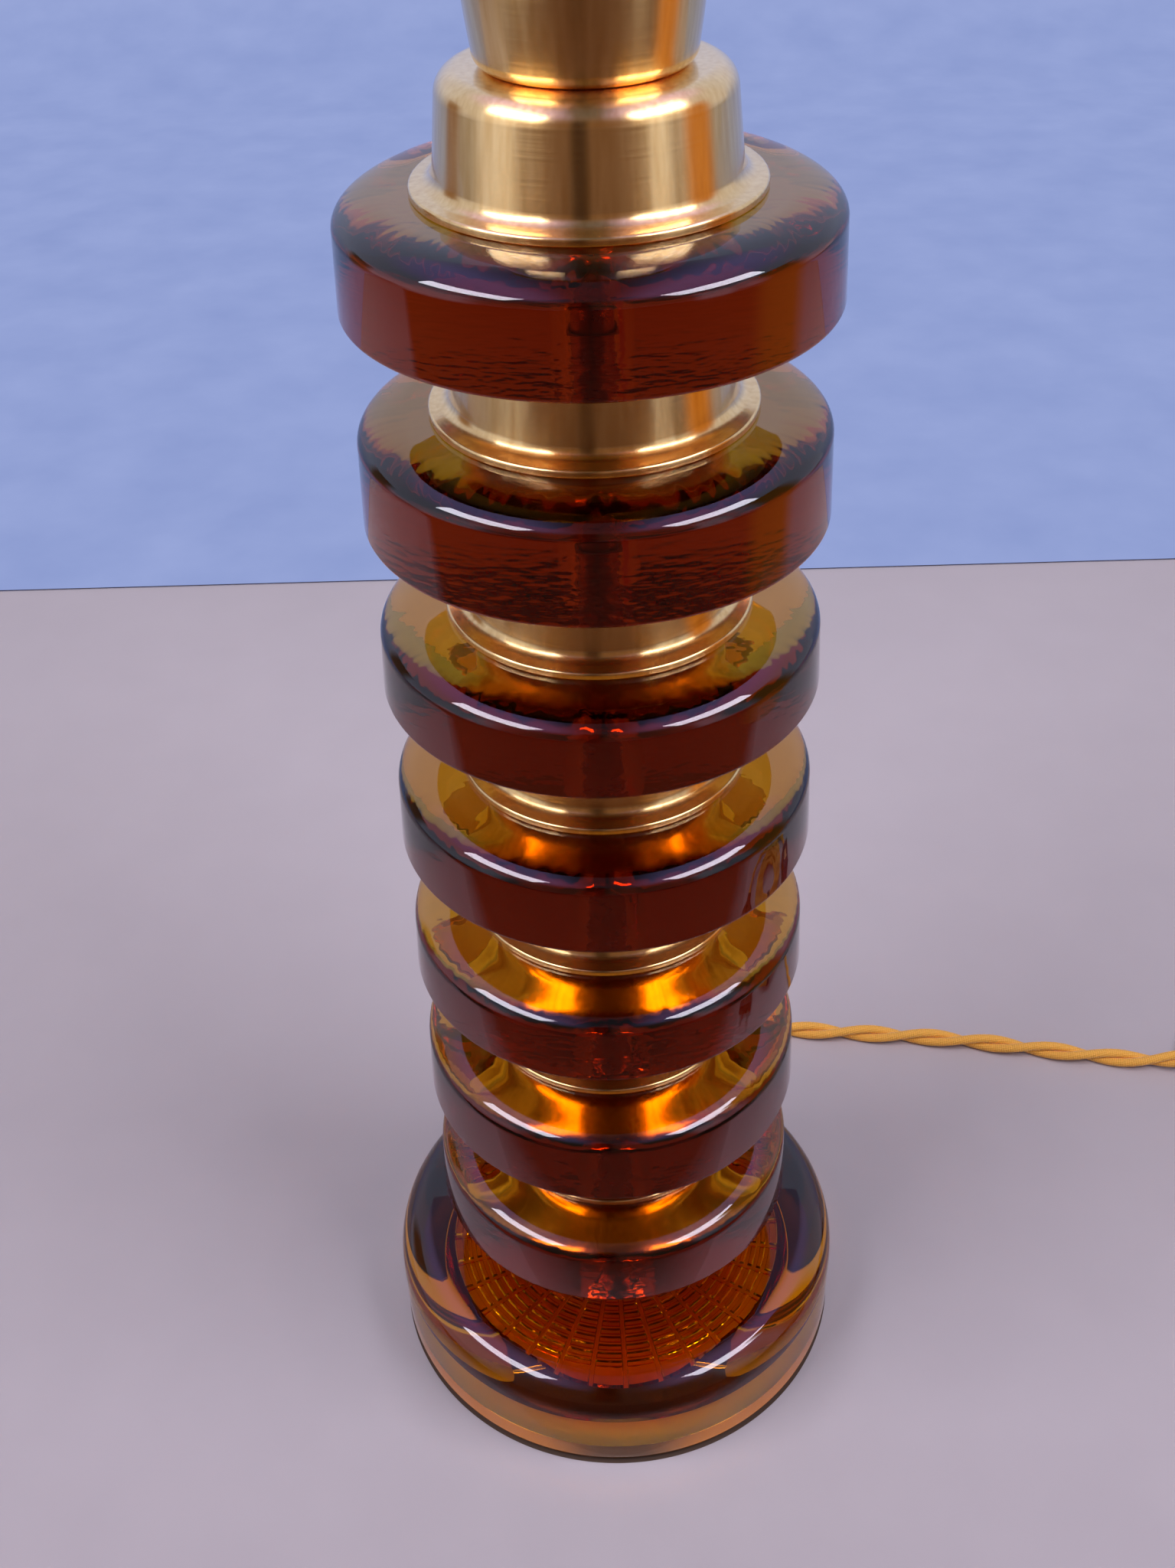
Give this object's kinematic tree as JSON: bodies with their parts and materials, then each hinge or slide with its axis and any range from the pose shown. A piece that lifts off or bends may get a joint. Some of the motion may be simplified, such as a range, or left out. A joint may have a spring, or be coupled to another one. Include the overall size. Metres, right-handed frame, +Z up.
{
  "type": "table lamp",
  "caption": "Table lamp base: a column of thick amber glass discs and brass spacer cups on a pressed glass foot, with a screw lampholder and a twisted textile cord with switch and plug.",
  "frame": {"origin": "middle of the foot's resting face, on the lamp's axis", "axes": "+Z up along the lamp's axis, -Y towards the viewer, the cord leaves the foot at +Y"},
  "size_m": [0.3983, 0.1918, 0.4602],
  "materials": {
    "amber_glass": "pressed and fire polished, deep amber",
    "spun_brass": "spun, satin polished, lacquered",
    "turned_brass": "turned or stamped, plain",
    "zinc_steel": "stamped, zinc plated",
    "rubber": "cut from sheet",
    "gland_rubber": "moulded, matt",
    "soft_washer": "die cut, clear soft plastic",
    "dark_moulding": "moulded thermoset, semi gloss",
    "rocker_moulding": "moulded, semi gloss",
    "porcelain": "pressed and glazed",
    "textile_cord": "braided over two twisted cores",
    "tie_fabric": "woven hook and loop band",
    "nickel_plate": "nickel plated brass"
  },
  "bodies": {
    "lamp": {"foot_glass": "amber_glass", "foot_cushion": "rubber", "foot_washer": "zinc_steel", "foot_nut": "turned_brass", "centre_rod": "turned_brass", "top_cup": "spun_brass", "cushion_washers": "soft_washer", "spacer_1": "spun_brass", "spacer_2": "spun_brass", "spacer_3": "spun_brass", "spacer_4": "spun_brass", "spacer_5": "spun_brass", "spacer_6": "spun_brass", "spacer_7": "spun_brass", "glass_disc_1": "amber_glass", "glass_disc_2": "amber_glass", "glass_disc_3": "amber_glass", "glass_disc_4": "amber_glass", "glass_disc_5": "amber_glass", "glass_disc_6": "amber_glass", "glass_disc_7": "amber_glass", "socket_cup": "spun_brass", "top_washer": "zinc_steel", "top_nut": "turned_brass", "holder_cap": "dark_moulding", "holder_insert": "porcelain", "holder_terminals": "turned_brass", "centre_contact": "turned_brass", "screw_shell": "turned_brass", "holder_sleeve": "dark_moulding", "shade_ring": "spun_brass", "inner_lead": "textile_cord", "cord_gland": "gland_rubber", "cord_run": "textile_cord", "switch_base": "dark_moulding", "switch_cover": "dark_moulding", "switch_contacts": "turned_brass", "switch_screws": "zinc_steel", "cord_lead": "textile_cord", "cord_coil": "textile_cord", "coil_tie": "tie_fabric", "cord_tail": "textile_cord", "plug_body": "dark_moulding", "plug_pins": "nickel_plate"},
    "rocker": {"switch_rocker": "rocker_moulding"}
  },
  "joints": [
    {"name": "rocker_tilt", "type": "hinge", "parent": "lamp", "child": "rocker", "pos_m": [0.258, 0.086, 0.013], "axis": [0, -1, 0], "range_deg": [0, 14]}
  ]
}
